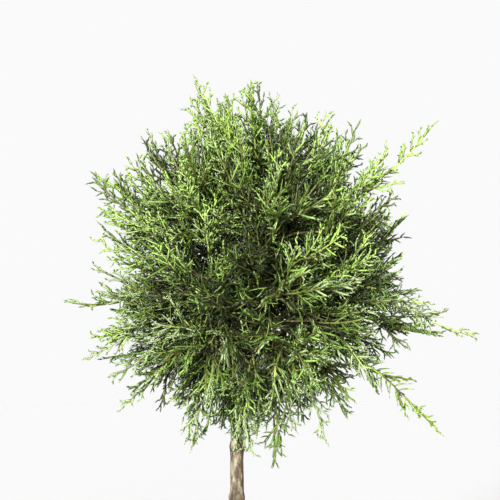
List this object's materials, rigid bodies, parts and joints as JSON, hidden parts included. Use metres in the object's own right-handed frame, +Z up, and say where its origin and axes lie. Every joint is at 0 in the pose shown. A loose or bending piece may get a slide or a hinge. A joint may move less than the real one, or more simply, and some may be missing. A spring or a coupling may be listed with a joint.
{
  "type": "potted juniper standard topiary",
  "caption": "Standard topiary juniper: a globe of fine whipcord foliage with loose sprays, on a bare upright stem in a plain clay pot.",
  "frame": {"origin": "centre of the pot's flat underside", "axes": "+Z up along the stem, +X to the side where the crown's longest shoots reach, +Y to the plant's back"},
  "size_m": [0.4872, 0.3734, 0.9832],
  "materials": {
    "clay": "matte",
    "compost": "matte",
    "bark": "matte",
    "twig_bark": "matte",
    "foliage": "matte"
  },
  "bodies": {
    "root": {"pot": "clay", "soil": "compost", "trunk": "bark", "bough_top": "twig_bark", "bough_upper_1": "twig_bark", "bough_upper_2": "twig_bark", "bough_upper_3": "twig_bark", "bough_upper_4": "twig_bark", "bough_upper_5": "twig_bark", "bough_middle_1": "twig_bark", "bough_middle_2": "twig_bark", "bough_middle_3": "twig_bark", "bough_middle_4": "twig_bark", "bough_middle_5": "twig_bark", "bough_middle_6": "twig_bark", "bough_lower_1": "twig_bark", "bough_lower_2": "twig_bark", "bough_lower_3": "twig_bark", "bough_lower_4": "twig_bark", "bough_lower_5": "twig_bark", "foliage_top": "foliage", "foliage_upper_1": "foliage", "foliage_upper_2": "foliage", "foliage_upper_3": "foliage", "foliage_upper_4": "foliage", "foliage_upper_5": "foliage", "foliage_middle_1": "foliage", "foliage_middle_2": "foliage", "foliage_middle_3": "foliage", "foliage_middle_4": "foliage", "foliage_middle_5": "foliage", "foliage_middle_6": "foliage", "foliage_lower_1": "foliage", "foliage_lower_2": "foliage", "foliage_lower_3": "foliage", "foliage_lower_4": "foliage", "foliage_lower_5": "foliage"}
  },
  "joints": []
}
